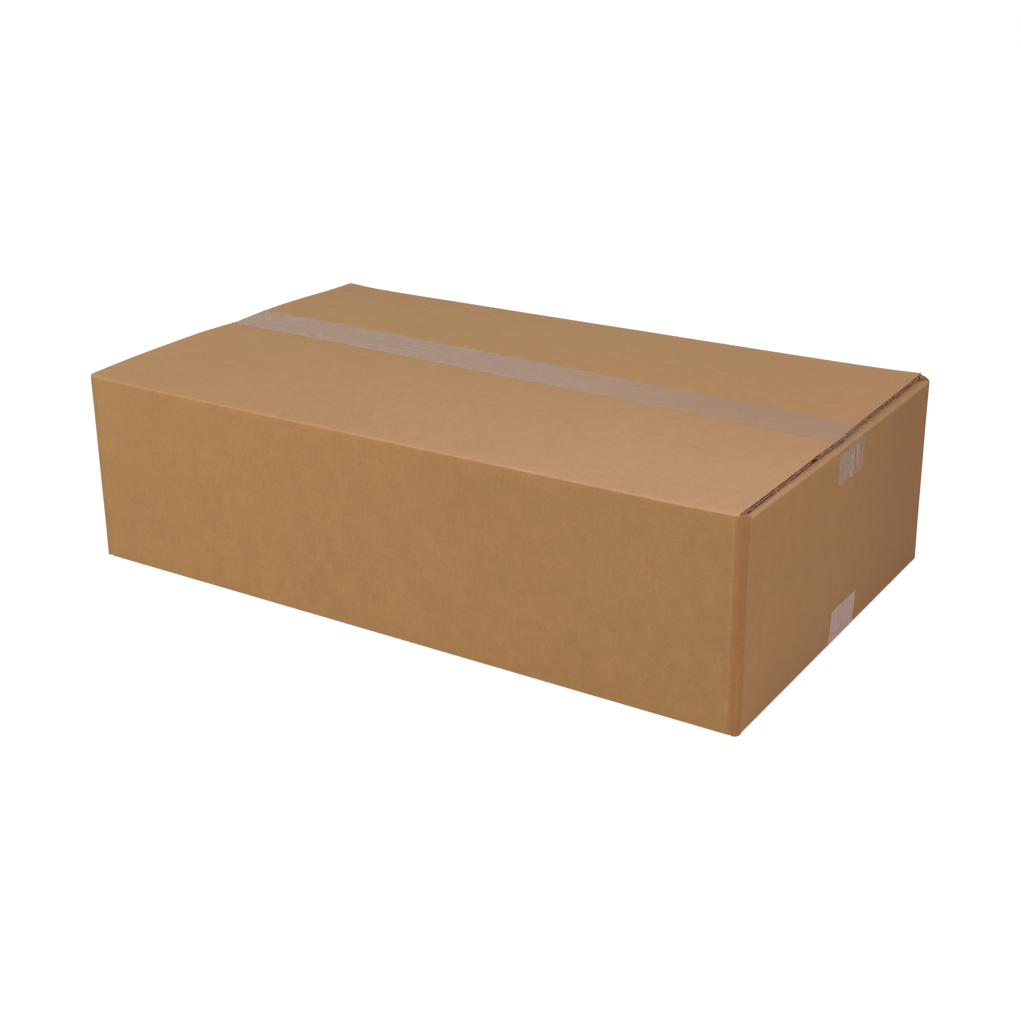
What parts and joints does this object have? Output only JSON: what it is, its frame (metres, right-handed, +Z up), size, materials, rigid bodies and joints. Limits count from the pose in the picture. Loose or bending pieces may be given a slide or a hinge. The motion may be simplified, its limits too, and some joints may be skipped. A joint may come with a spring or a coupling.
{
  "type": "closed cardboard box",
  "caption": "Low rectangular shipping carton of brown double-wall corrugated board, closed and sealed along its seams with clear packing tape.",
  "frame": {"origin": "middle of the base, on the floor", "axes": "+X along the length and the taped seam, +Y from the front long wall to the back one, +Z up"},
  "size_m": [0.6132, 0.366, 0.1718],
  "materials": {
    "kraft_board": "dull brown kraft paper, lightly grained",
    "clear_tape": "clear packing film, glossy and slightly wrinkled"
  },
  "bodies": {
    "root": {"carton": "kraft_board", "top_tape": "clear_tape", "bottom_tape": "clear_tape"}
  },
  "joints": []
}
